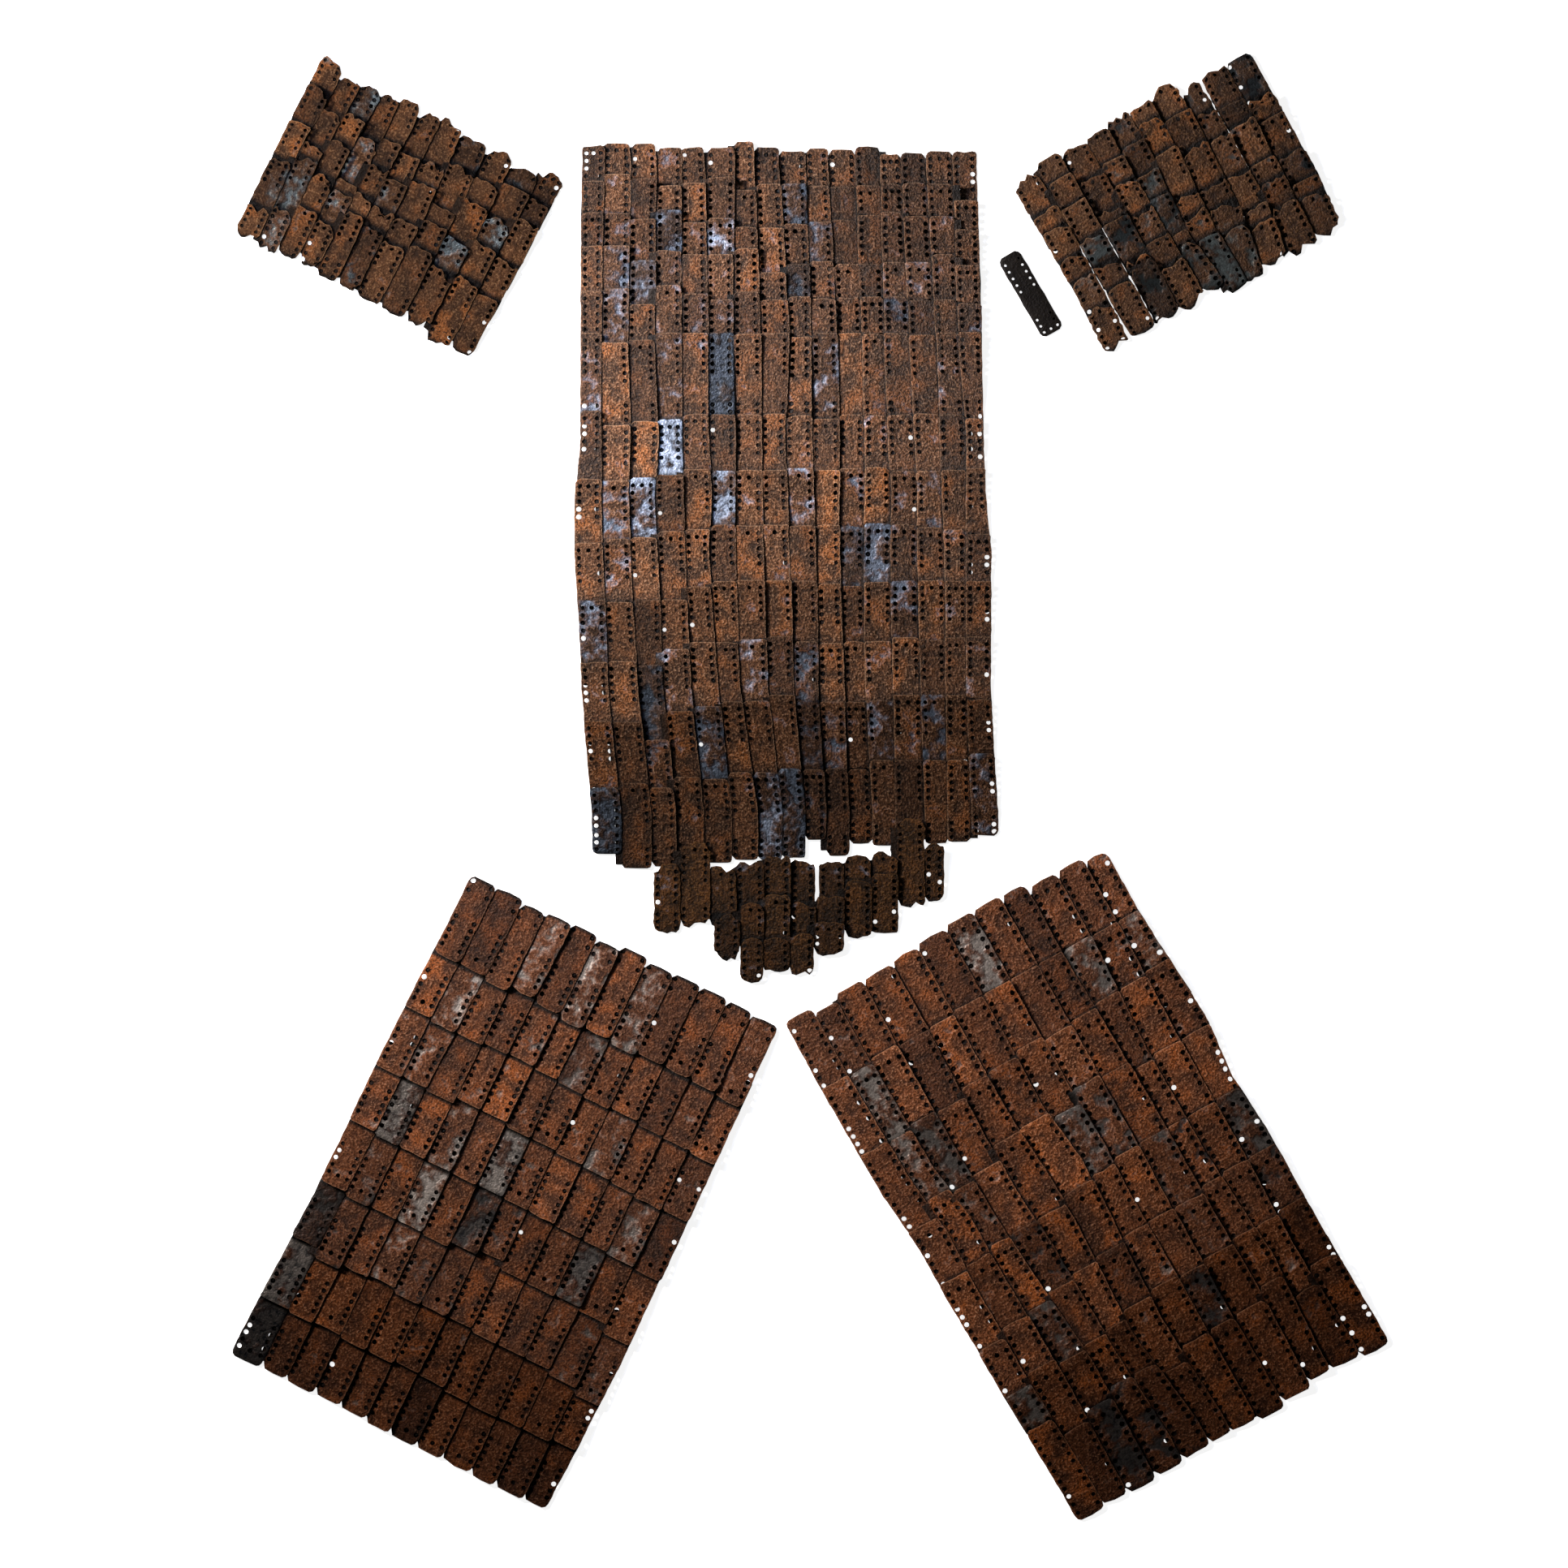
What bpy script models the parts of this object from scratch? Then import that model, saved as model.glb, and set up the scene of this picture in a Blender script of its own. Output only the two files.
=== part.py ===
"""Lamellar armour of iron plates, laid out flat with its outside up.

It has a body that ends in a ragged skirt point, two thigh guards, two shoulder guards and one loose
lamella. Each laced row of lamellae is one object: a strip of plates whose long edges overlap sideways.
The rows of a panel lie on each other like roof tiles, the first of them flat on the surface.
Tables are in millimetres, the model is in metres, +X to the right, +Y to the neck and +Z up.
"""

import math
from collections import namedtuple

import bmesh
import bpy
import numpy

MM = 0.001

# Driving dimensions, in millimetres
PLATE = 1.5
LAP_RISE = 1.5
AIR = 0.3
CORNER = 4.0
ROW_HEIGHT = PLATE + LAP_RISE
# A row's feet lie at least this far past the feet of the row under it
LEAST_TREAD = 26.0
# The middle of the whole outline's box in the frame of the corners below, which is the origin
MIDDLE = (-0.65, -0.22)

# A row's heads are the plate ends that show, from left to right, and ends are the far ones where they
# show as well. Both are distances down the panel. Edges are the long edges of the row's own columns,
# where they aren't the panel's.
Row = namedtuple("Row", "name heads ends edges", defaults=(None, None))

# A panel's corner is the place of its ruled frame, turned clockwise by turn degrees. A lamella is that
# long. The rows lie over the row above where over is 1, and over the row below where it is -1. Plates
# before the low column have their right edge on top, those after it their left edge. Columns gives the
# columns' long edges from left to right, each line at a distance down the panel.
Panel = namedtuple("Panel", "name colour corner turn lamella over low_column columns rows")

BODY = Panel(
    name="body", colour="5a3a2a", corner=(-263, 688), turn=0, lamella=92, over=1, low_column=10,
    columns=(
        (34, (23, 47, 75, 102, 128, 153, 183, 204, 230, 258, 281, 309, 335, 357, 383, 411, 436)),
        (221, (22, 44, 72, 100, 128, 156, 182, 211, 241, 264, 291, 316, 340, 366, 394, 417, 442)),
        (323, (22, 44, 75, 104, 129, 156, 184, 212, 236, 264, 293, 319, 343, 371, 398, 426, 444)),
        (382, (16, 44, 73, 100, 130, 160, 184, 212, 239, 267, 293, 320, 347, 375, 400, 425, 446)),
        (442, (16, 46, 74, 103, 132, 156, 184, 214, 241, 269, 293, 318, 346, 374, 403, 425, 452)),
        (586, (23, 51, 82, 109, 138, 167, 189, 218, 246, 271, 298, 320, 349, 378, 404, 426, 452)),
        (714, (34, 65, 96, 122, 151, 180, 208, 233, 257, 279, 303, 327, 352, 382, 406, 431, 459)),
    ),
    rows=(
        Row("row_01", (17, 14, 15, 19, 19, 19, 13, 19, 23, 20, 21, 18, 26, 25, 23, 23)),
        Row("row_02", (55, 48, 53, 60, 57, 51, 64, 58, 58, 60, 61, 60, 58, 57, 58, 75)),
        Row("row_03", (88, 89, 95, 85, 98, 94, 103, 104, 100, 98, 96, 91, 88, 92, 92, 106)),
        Row("row_04", (123, 123, 138, 128, 132, 132, 126, 151, 142, 139, 142, 142, 140, 140, 132, 143)),
        Row("row_05", (170, 167, 184, 164, 173, 179, 171, 179, 176, 178, 177, 176, 176, 180, 179, 183)),
        Row("row_06", (214, 224, 221, 214, 214, 214, 215, 214, 218, 214, 214, 215, 214, 216, 214, 213)),
        Row("row_07", (295, 310, 306, 304, 298, 299, 299, 298, 300, 303, 299, 300, 299, 298, 299, 303)),
        Row("row_08", (366, 368, 365, 362, 356, 358, 357, 357, 355, 357, 355, 354, 358, 358, 357, 355)),
        Row("row_09", (433, 429, 427, 421, 419, 414, 415, 414, 415, 414, 416, 413, 414, 417, 419, 424)),
        Row("row_10", (493, 495, 493, 492, 479, 473, 472, 472, 473, 476, 478, 474, 473, 472, 473, 473)),
        Row("row_11", (558, 557, 561, 544, 537, 537, 534, 531, 536, 538, 536, 536, 532, 534, 532, 531)),
        Row("row_12", (619, 620, 639, 609, 604, 599, 598, 592, 597, 599, 599, 598, 592, 592, 592, 597)),
        Row("row_13", (689, 684, 689, 678, 680, 673, 673, 669, 670, 669, 670, 660, 660, 660, 660, 653),
            ends=(759, 774, 772, 769, 768, 765, 765, 763, 744, 761, 748, 750, 749, 748, 746, 740)),
    ))

# The skirt point's rows go on down from the body's last row. Its first row is parted by a slit.
SKIRT = Panel(
    name="skirt", colour="2a1c12", corner=BODY.corner, turn=0, lamella=92, over=1, low_column=6,
    columns=(),
    rows=(
        Row("row_1_left", (769, 746, 772, 767, 761, 765),
            ends=(842, 836, 834, 830, 828, 828), edges=(98, 126, 157, 185, 214, 242, 267)),
        Row("row_1_right", (767, 759, 756, 722, 748),
            ends=(822, 820, 818, 814, 808), edges=(272, 298, 326, 353, 382, 402)),
        Row("row_2", (822, 809, 801, 808, 803, 786, 779),
            ends=(870, 862, 855, 850, 848, 847, 842), edges=(162, 189, 214, 241, 268, 298, 327, 355)),
        Row("row_3", (846, 846, 842, 829),
            ends=(894, 882, 886, 865), edges=(189, 213, 241, 266, 298)),
    ))

THIGH_LEFT = Panel(
    name="thigh_left", colour="6a3a24", corner=(-365, -77), turn=26, lamella=92, over=-1, low_column=12,
    columns=(
        (51, (15, 45, 77, 104, 133, 163, 190, 221, 252, 283, 315, 344, 375)),
        (213, (13, 43, 71, 103, 131, 162, 191, 221, 253, 286, 315, 347, 378)),
        (400, (13, 43, 73, 102, 133, 164, 195, 223, 253, 286, 316, 349, 381)),
        (544, (9, 43, 72, 105, 135, 166, 194, 225, 255, 289, 317, 350, 377)),
    ),
    rows=(
        Row("row_1", (99, 99, 103, 98, 101, 105, 102, 105, 101, 102, 103, 106),
            ends=(9, 9, 12, 10, 9, 12, 7, 10, 9, 9, 10, 12)),
        Row("row_2", (163, 166, 165, 162, 161, 163, 165, 167, 165, 168, 169, 171)),
        Row("row_3", (232, 231, 233, 226, 226, 230, 230, 232, 233, 235, 238, 237)),
        Row("row_4", (295, 298, 298, 299, 299, 298, 299, 300, 301, 302, 304, 306)),
        Row("row_5", (365, 369, 368, 368, 370, 364, 359, 367, 368, 366, 370, 380)),
        Row("row_6", (431, 441, 436, 433, 438, 436, 436, 439, 439, 439, 444, 451)),
        Row("row_7", (502, 504, 502, 505, 505, 502, 504, 507, 508, 507, 507, 503)),
        Row("row_8", (571, 570, 571, 570, 571, 573, 574, 574, 574, 575, 574, 573)),
    ))

THIGH_RIGHT = Panel(
    name="thigh_right", colour="683c28", corner=(-42, -247), turn=-29, lamella=107, over=1, low_column=12,
    columns=(
        (85, (12, 44, 72, 105, 141, 172, 208, 241, 274, 303, 337, 368, 394)),
        (213, (14, 48, 75, 105, 139, 172, 207, 241, 274, 307, 331, 366, 402)),
        (281, (21, 56, 85, 108, 140, 177, 216, 244, 275, 309, 332, 366, 395)),
        (340, (21, 54, 85, 111, 145, 179, 214, 242, 274, 309, 333, 367, 400)),
        (468, (24, 55, 89, 123, 149, 174, 208, 244, 274, 312, 342, 366, 401)),
        (578, (28, 61, 89, 122, 155, 189, 214, 245, 276, 310, 336, 371, 404)),
    ),
    rows=(
        Row("row_1", (7, 14, 7, 7, 4, 2, 0, 0, 1, 7, 7, 12)),
        Row("row_2", (87, 88, 83, 86, 85, 82, 82, 82, 82, 82, 83, 83)),
        Row("row_3", (167, 169, 164, 166, 157, 155, 150, 154, 151, 147, 146, 143)),
        Row("row_4", (262, 242, 247, 242, 225, 223, 230, 214, 217, 227, 223, 223)),
        Row("row_5", (326, 321, 316, 315, 315, 306, 303, 298, 297, 297, 297, 296)),
        Row("row_6", (406, 397, 395, 388, 383, 379, 374, 373, 374, 368, 366, 366)),
        Row("row_7", (462, 451, 458, 454, 451, 442, 437, 439, 436, 432, 432, 429)),
        Row("row_8", (504, 524, 514, 505, 505, 519, 504, 503, 502, 489, 514, 495),
            ends=(614, 612, 614, 612, 610, 609, 609, 613, 609, 602, 604, 608)),
    ))

SHOULDER_LEFT = Panel(
    name="shoulder_left", colour="40291c", corner=(-518, 781), turn=26.5, lamella=66, over=1, low_column=11,
    columns=(
        (26, (14, 41, 64, 88, 108, 132, 155, 180, 213, 241, 275, 298)),
        (115, (13, 36, 60, 84, 109, 130, 156, 185, 213, 243, 270, 298)),
        (204, (13, 39, 62, 86, 109, 133, 156, 183, 212, 240, 269, 294)),
    ),
    rows=(
        Row("row_1", (9, 21, 17, 17, 12, 15, 10, 19, 17, 23, 14)),
        Row("row_2", (43, 60, 53, 66, 60, 64, 61, 51, 53, 45, 47)),
        Row("row_3", (85, 99, 85, 118, 89, 95, 85, 98, 78, 82, 72)),
        Row("row_4", (128, 115, 123, 132, 123, 128, 128, 117, 122, 113, 119)),
        Row("row_5", (182, 173, 162, 167, 145, 149, 155, 146, 156, 153, 160),
            ends=(218, 220, 217, 216, 219, 221, 221, 221, 221, 228, 226)),
    ))

SHOULDER_RIGHT = Panel(
    name="shoulder_right", colour="3e2a1e", corner=(184, 654), turn=-29, lamella=66, over=1, low_column=10,
    columns=(
        (85, (12, 42, 71, 101, 127, 154, 181, 212, 236, 267, 297)),
        (170, (14, 42, 72, 102, 130, 148, 175, 209, 237, 265, 297)),
        (230, (12, 42, 72, 102, 132, 156, 178, 200, 230, 264, 294)),
    ),
    rows=(
        Row("row_1", (33, 27, 30, 28, 24, 25, 20, 33, 31, 32)),
        Row("row_2", (75, 53, 68, 62, 58, 45, 54, 66, 71, 79)),
        Row("row_3", (96, 83, 106, 89, 92, 81, 92, 96, 94, 104)),
        Row("row_4", (130, 122, 119, 125, 119, 132, 136, 139, 139, 147)),
        Row("row_5", (155, 153, 164, 157, 163, 153, 160, 178, 162, 178)),
        Row("row_6", (190, 180, 172, 187, 176, 181, 187, 195, 190, 195),
            ends=(238, 237, 236, 238, 235, 245, 244, 240, 243, 242)),
    ))

# The loose lamella lies to the right of the neck
LOOSE_PLACE = (230, 516)
LOOSE_TURN = 59.7
LOOSE_LENGTH = 95
LOOSE_WIDTH = 25
LOOSE_CORNER = 8
LOOSE_COLOUR = "24211f"
LOOSE_ARC_STEPS = 4

IRON_ROUGHNESS = 0.7
IRON_METALLIC = 0.35

# One long side of a plate: the column edge it follows, where it starts and stops, and its height
Side = namedtuple("Side", "edge start stop height")


def linear_channel(value):
    """One sRGB channel from 0 to 1 as the linear value that a shader takes."""
    return value / 12.92 if value <= 0.04045 else ((value + 0.055) / 1.055) ** 2.4


def rusted_iron(name, colour):
    """Corroded iron in one plain colour."""
    material = bpy.data.materials.new(name)
    material.use_nodes = True
    shader = next(n for n in material.node_tree.nodes if n.type == "BSDF_PRINCIPLED")
    channels = [linear_channel(int(colour[k:k + 2], 16) / 255) for k in (0, 2, 4)]
    shader.inputs["Base Color"].default_value = (*channels, 1.0)
    shader.inputs["Roughness"].default_value = IRON_ROUGHNESS
    shader.inputs["Metallic"].default_value = IRON_METALLIC
    return material


class Strip:
    """One laced row as a single body.

    A place on it is given in millimetres: across the panel, and along its plates from the heads, which lie
    on another row, to the feet, which rest on the surface. So along runs up the panel where over is -1.
    """

    def __init__(self, panel, row):
        self.name = f"{panel.name}_{row.name}"
        self.panel = panel
        self.columns = panel.columns if row.edges is None else ((0, row.edges),)
        self.count = len(row.heads)
        self.heads = [panel.over * head for head in row.heads]
        self.shown_ends = [panel.over * end for end in row.ends] if row.ends else None
        self.lean = 0.0
        self.head_cut = 0.0
        self.made = {}
        self.fit_foot()

    def edge(self, number, along):
        """Where a column's long edge lies across the panel, between the lines of its table."""
        down = along * self.panel.over
        stations = [station for station, _ in self.columns]
        places = [edges[number] for _, edges in self.columns]
        return float(numpy.interp(down, stations, places))

    def fit_foot(self):
        """The straight line that the feet rest on: their mean, or the lowest where the ends show."""
        sides = [[self.edge(number + k, head) for k in (0, 1)] for number, head in enumerate(self.heads)]
        feet = self.shown_ends or [head + self.panel.lamella for head in self.heads]
        slope, base = numpy.polyfit([sum(pair) / 2 for pair in sides], feet, 1)
        if self.shown_ends:
            base += max(foot - base - slope * place for foot, pair in zip(feet, sides) for place in pair)
        self.foot_slope = float(slope)
        self.foot_base = float(base)

    def foot(self, across):
        return self.foot_base + self.foot_slope * across

    def shorten_for(self, upper):
        """Keeps hidden feet so far short of the row above that it needn't lean steeply."""
        width = self.edge(self.count, self.heads[-1])
        tread = min(upper.foot(across) - self.foot(across) for across in (0, width))
        self.foot_base -= max(LEAST_TREAD - tread, 0)

    def foot_at_edge(self, number):
        """The foot line where it meets a column's long edge, which itself drifts down the panel."""
        along = self.foot(self.edge(number, self.foot_base))
        return self.foot(self.edge(number, along))

    def lean_on(self, below):
        """Leans this row just so far that it lies clear over the row below it."""
        for number in range(self.count):
            for across in (self.edge(number, self.heads[number]), self.edge(number + 1, self.heads[number])):
                if not below.edge(0, below.heads[0]) <= across <= below.edge(below.count, below.heads[-1]):
                    continue
                touch = below.foot(across)
                neighbours = self.heads[max(number - 1, 0):number + 2]
                if min(neighbours) >= touch:
                    continue
                for along in (touch, min(neighbours)):
                    lift = below.lean * (touch - along) + ROW_HEIGHT + AIR
                    self.lean = max(self.lean, lift / (self.foot(across) - along))

    def sides(self, number):
        """The left and the right long side of a plate."""
        start = self.heads[number] + self.head_cut
        if self.shown_ends:
            stops = [self.shown_ends[number] - CORNER] * 2
        else:
            stops = [self.foot_at_edge(number), self.foot_at_edge(number + 1)]
        left_on_top = number > self.panel.low_column
        right_on_top = number < self.panel.low_column
        heights = [ROW_HEIGHT if on_top else PLATE for on_top in (left_on_top, right_on_top)]
        return [Side(number + k, start, stops[k], heights[k]) for k in (0, 1)]

    def build(self, cut_heads):
        """Makes the mesh. The long sides of two plates share one edge line, so the strip is one body."""
        self.head_cut = CORNER if cut_heads else 0.0
        self.mesh = bmesh.new()
        plates = [self.sides(number) for number in range(self.count)]
        for number, (left, right) in enumerate(plates):
            left_of = plates[number - 1][1] if number else None
            right_of = plates[number + 1][0] if number + 1 < self.count else None
            self.faces(number, left, right, left_of, right_of)
            self.side_walls(left, left_of)
            self.side_walls(right, right_of)
        bmesh.ops.recalc_face_normals(self.mesh, faces=self.mesh.faces)
        return self.mesh

    def point(self, across, along, level):
        """The vertex at a place of the strip, made once."""
        down = along * self.panel.over
        turn = math.radians(self.panel.turn)
        x = self.panel.corner[0] - MIDDLE[0] + across * math.cos(turn) - down * math.sin(turn)
        y = self.panel.corner[1] - MIDDLE[1] - across * math.sin(turn) - down * math.cos(turn)
        z = level + self.lean * (self.foot(across) - along)
        key = (round(x, 3), round(y, 3), round(z, 3))
        if key not in self.made:
            self.made[key] = self.mesh.verts.new((x * MM, y * MM, z * MM))
        return self.made[key]

    def face(self, points):
        self.mesh.faces.new([self.point(*point) for point in points])

    def on_side(self, side, along, level):
        return (self.edge(side.edge, along), along, level)

    def across_end(self, left, right, which, reach, levels):
        """The points across one end of a plate, with its corners cut where reach goes past its sides."""
        ends = [self.on_side(side, getattr(side, which), level)
                for side, level in zip((left, right), levels)]
        if reach is None:
            return ends
        width = ends[1][0] - ends[0][0]
        inner = []
        for share in (CORNER / width, 1 - CORNER / width):
            inner.append((ends[0][0] + share * width, reach, levels[0] + share * (levels[1] - levels[0])))
        return [ends[0], *inner, ends[1]]

    def faces(self, number, left, right, left_of, right_of):
        """The upper face, the underside and the two end walls of a plate."""
        reaches = {
            "start": self.heads[number] if self.head_cut else None,
            "stop": self.shown_ends[number] if self.shown_ends else None,
        }
        for upper in (True, False):
            levels = (left.height, right.height) if upper else (0.0, 0.0)
            rim = [self.on_side(left, along, levels[0]) for along in marks(left, left_of, upper)]
            rim += self.across_end(left, right, "stop", reaches["stop"], levels)[1:-1]
            rim += [self.on_side(right, along, levels[1]) for along in reversed(marks(right, right_of, upper))]
            rim += reversed(self.across_end(left, right, "start", reaches["start"], levels)[1:-1])
            self.face(rim)
        for which, reach in reaches.items():
            tops = self.across_end(left, right, which, reach, (left.height, right.height))
            feet = self.across_end(left, right, which, reach, (0.0, 0.0))
            for k in range(len(tops) - 1):
                wall = [feet[k], feet[k + 1]]
                if k + 1 == len(tops) - 1:
                    wall += self.seam_point(right, right_of, which)
                wall += [tops[k + 1], tops[k]]
                if k == 0:
                    wall += self.seam_point(left, left_of, which)
                self.face(wall)

    def seam_point(self, side, other, which):
        """The point on an end wall's upright edge where a lower neighbour's upper face runs into it."""
        along = getattr(side, which)
        if other is None or other.height > side.height:
            return []
        if which == "start" and not other.start <= along < other.stop:
            return []
        if which == "stop" and not other.start < along <= other.stop:
            return []
        return [self.on_side(side, along, other.height)]

    def side_walls(self, side, other):
        """What stands free of a plate's long side beside its neighbour."""
        if other is None:
            self.wall(side, side.start, side.stop)
        elif side.height < other.height:
            if side.start < other.start:
                self.wall(side, side.start, other.start)
            if side.stop > other.stop:
                self.wall(side, other.stop, side.stop)
        else:
            rim = []
            if other.start > side.start:
                rim += [(side.start, 0.0), (other.start, 0.0), (other.start, other.height)]
            else:
                rim += [(side.start, other.height)]
            if other.stop < side.stop:
                rim += [(other.stop, other.height), (other.stop, 0.0), (side.stop, 0.0)]
            else:
                rim += [(side.stop, other.height)]
            rim += [(side.stop, side.height), (side.start, side.height)]
            self.face([self.on_side(side, along, level) for along, level in rim])

    def wall(self, side, start, stop):
        rim = [(start, 0.0), (stop, 0.0), (stop, side.height), (start, side.height)]
        self.face([self.on_side(side, along, level) for along, level in rim])


def marks(side, other, upper):
    """Where a long side's edge is divided: at its own ends, and at a neighbour's that meet it."""
    inner = []
    if other is not None and (not upper or other.height > side.height):
        inner = [along for along in (other.start, other.stop) if side.start < along < side.stop]
    return [side.start, *inner, side.stop]


def add_object(name, made, material):
    """Turns a finished bmesh into the scene's object of that name."""
    mesh = bpy.data.meshes.new(name)
    made.to_mesh(mesh)
    made.free()
    mesh.materials.append(material)
    bpy.context.scene.collection.objects.link(bpy.data.objects.new(name, mesh))


def lay_panel(panel, below=None):
    """Lays a panel's rows on each other, from the one that lies flat, and returns its last strip."""
    material = rusted_iron(f"iron_{panel.name}", panel.colour)
    strips = [Strip(panel, row) for row in panel.rows]
    if panel.over < 0:
        strips.reverse()
    for lower, upper in reversed(list(zip(strips, strips[1:]))):
        lower.shorten_for(upper)
    first = strips[0]
    for strip in strips:
        if below is not None:
            strip.lean_on(below)
        add_object(strip.name, strip.build(cut_heads=strip is first), material)
        below = strip
    return strips[-1]


def lay_skirt(below):
    """The skirt point: both parts of its first row lie on the body's last row, the rest on them."""
    material = rusted_iron("iron_skirt", SKIRT.colour)
    left, right, second, third = [Strip(SKIRT, row) for row in SKIRT.rows]
    left.lean_on(below)
    right.lean_on(below)
    second.lean_on(left)
    second.lean_on(right)
    third.lean_on(second)
    for strip in (left, right, second, third):
        add_object(strip.name, strip.build(cut_heads=True), material)


def lay_loose_lamella():
    """The plate that lies by itself, with rounded corners."""
    made = bmesh.new()
    inset_x = LOOSE_LENGTH / 2 - LOOSE_CORNER
    inset_y = LOOSE_WIDTH / 2 - LOOSE_CORNER
    turn = -math.radians(LOOSE_TURN)
    rim = []
    for quarter, (side_x, side_y) in enumerate(((1, 1), (-1, 1), (-1, -1), (1, -1))):
        for step in range(LOOSE_ARC_STEPS + 1):
            angle = math.radians(90 * (quarter + step / LOOSE_ARC_STEPS))
            x = side_x * inset_x + LOOSE_CORNER * math.cos(angle)
            y = side_y * inset_y + LOOSE_CORNER * math.sin(angle)
            place_x = LOOSE_PLACE[0] - MIDDLE[0] + x * math.cos(turn) - y * math.sin(turn)
            place_y = LOOSE_PLACE[1] - MIDDLE[1] + x * math.sin(turn) + y * math.cos(turn)
            rim.append(made.verts.new((place_x * MM, place_y * MM, 0.0)))
    underside = made.faces.new(rim)
    raised = bmesh.ops.extrude_face_region(made, geom=[underside])
    bmesh.ops.translate(
        made, vec=(0.0, 0.0, PLATE * MM), verts=[g for g in raised["geom"] if isinstance(g, bmesh.types.BMVert)])
    bmesh.ops.recalc_face_normals(made, faces=made.faces)
    add_object("loose_lamella", made, rusted_iron("iron_loose", LOOSE_COLOUR))


def main():
    for item in list(bpy.data.objects):
        bpy.data.objects.remove(item)
    body_end = lay_panel(BODY)
    lay_skirt(body_end)
    for panel in (THIGH_LEFT, THIGH_RIGHT, SHOULDER_LEFT, SHOULDER_RIGHT):
        lay_panel(panel)
    lay_loose_lamella()


main()
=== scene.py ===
"""Looks of the laid-out lamellar armour: every iron lamella with its holes, its bends and its rust.

Tables are in millimetres and made as in the construction: each laced row is one piece that stands for the
row's plain strip. Everything in the scene is in metres, +X to the right, +Y to the neck and +Z up.
"""

import math
import random
from collections import namedtuple
from functools import partial

import bmesh
import bpy
import numpy
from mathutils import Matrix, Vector


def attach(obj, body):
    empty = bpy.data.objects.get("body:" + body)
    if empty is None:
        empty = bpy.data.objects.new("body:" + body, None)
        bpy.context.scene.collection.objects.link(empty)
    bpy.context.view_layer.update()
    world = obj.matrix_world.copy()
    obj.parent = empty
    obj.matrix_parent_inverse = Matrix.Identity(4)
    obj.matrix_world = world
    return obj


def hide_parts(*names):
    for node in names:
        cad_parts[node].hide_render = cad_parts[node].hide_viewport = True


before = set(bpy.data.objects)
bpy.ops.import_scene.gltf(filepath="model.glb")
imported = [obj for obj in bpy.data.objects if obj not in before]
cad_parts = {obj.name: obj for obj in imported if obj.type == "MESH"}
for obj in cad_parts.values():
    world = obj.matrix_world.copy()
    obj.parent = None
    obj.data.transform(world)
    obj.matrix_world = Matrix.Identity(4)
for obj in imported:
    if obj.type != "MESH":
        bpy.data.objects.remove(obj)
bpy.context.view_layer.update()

MM = 0.001

# The construction's own sizes, which the lamellae keep to
PLATE = 1.5
LAP_RISE = 1.5
AIR = 0.3
ROW_HEIGHT = PLATE + LAP_RISE
LEAST_TREAD = 26.0
MIDDLE = (-0.65, -0.22)

# The lamellae's own sizes. Iron is their thickness, lap how far one goes under its neighbour, and least cover
# how far it goes on at least under the row above.
IRON = 1.3
LAP = (5.5, 7.5)
LEAST_COVER = 14.0
# An open seam sets each of its sides back by a share of slit. A notch sets each side back by its full width
# at the row's free end, and fades out over its reach.
SLIT = 1.3
NOTCH = 1.9
NOTCH_REACH = 26.0
# Where the holes lie from a free edge and from a seam, and how close they may come to each other and to an
# end. Other grid lines keep the clearance from them.
HOLE_INSET = 4.5
SEAM_INSET = 3.9
LEAST_HOLE_SPACING = 6.4
LEAST_END_SPACING = 4.3
HOLE_CLEARANCE = 3.1
LARGEST_BORE = 2.9
# The chamfer along a plate's rim, and how far from an end the bites out of it fade away
CHAMFER_WIDTH = 1.3
CHAMFER_DROP = 0.4
END_ZONE = 9.0
# How far grid lines may be apart along a plate, where it shows and where it is covered
LINE_SPACING = 7.0
HIDDEN_SPACING = 18.0
# Edges between faces that meet at more degrees than this stay sharp
SHARP_ANGLE = 38

# A row's heads are the plate ends that show and ends the far ones where they show as well, both read off
# down the panel. Edges are the long edges of the row's own columns. Grey lists plates that show bare
# metal: column, how much of it, and its lightness from 0 (slate) to 1 (silver). Orange lists bright ones.
Row = namedtuple("Row", "name heads ends edges grey orange slits", defaults=(None, None, (), (), ()))

# Holes are the distances of the hole pairs from the head, tail_holes from the foot, and bore their radius.
# Hidden is the share of lamellae whose covered edge hides its holes. Ragged is how far the ends are eaten
# away, and corners how round the free ends' corners are. Clogged is the share of holes that rust has filled
# where no row lies below: inside the panel, and in its outermost columns. Crevice is how far the painted
# shade reaches out from under the row above. Tones are the panel's painted light: how bright its top, middle
# and bottom are drawn, in place of the light falling off over it. Slits are the columns with an open seam on
# their right: thin in a whole panel, and a notch at the free end of a row.
Panel = namedtuple(
    "Panel", "name corner turn lamella over low_column holes tail_holes bore hidden ragged corners clogged "
    "crevice tones slits columns rows")

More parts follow.
